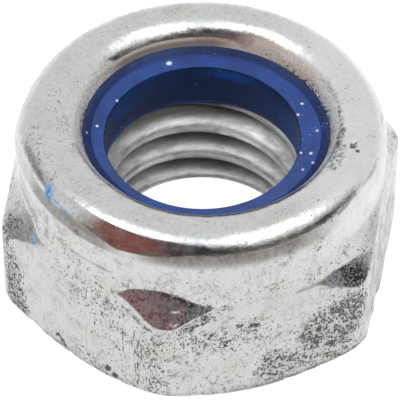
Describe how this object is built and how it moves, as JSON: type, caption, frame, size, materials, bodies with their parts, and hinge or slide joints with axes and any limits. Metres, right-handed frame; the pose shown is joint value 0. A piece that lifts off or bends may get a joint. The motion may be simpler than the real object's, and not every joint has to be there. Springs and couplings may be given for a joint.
{
  "type": "nylon insert lock nut",
  "caption": "Hexagonal steel lock nut whose rolled round collar holds a blue nylon locking ring above a threaded bore.",
  "frame": {"origin": "centre of the bearing face, on the thread axis", "axes": "+Z along the thread axis towards the nylon collar, +X towards a corner of the hexagon, +Y square to a wrench flat"},
  "size_m": [0.0112, 0.01, 0.0057],
  "materials": {
    "zinc_steel": "zinc plated, worn, with pits and scratches",
    "blue_nylon": "smooth satin nylon"
  },
  "bodies": {
    "root": {"nut_body": "zinc_steel", "nylon_ring": "blue_nylon"}
  },
  "joints": []
}
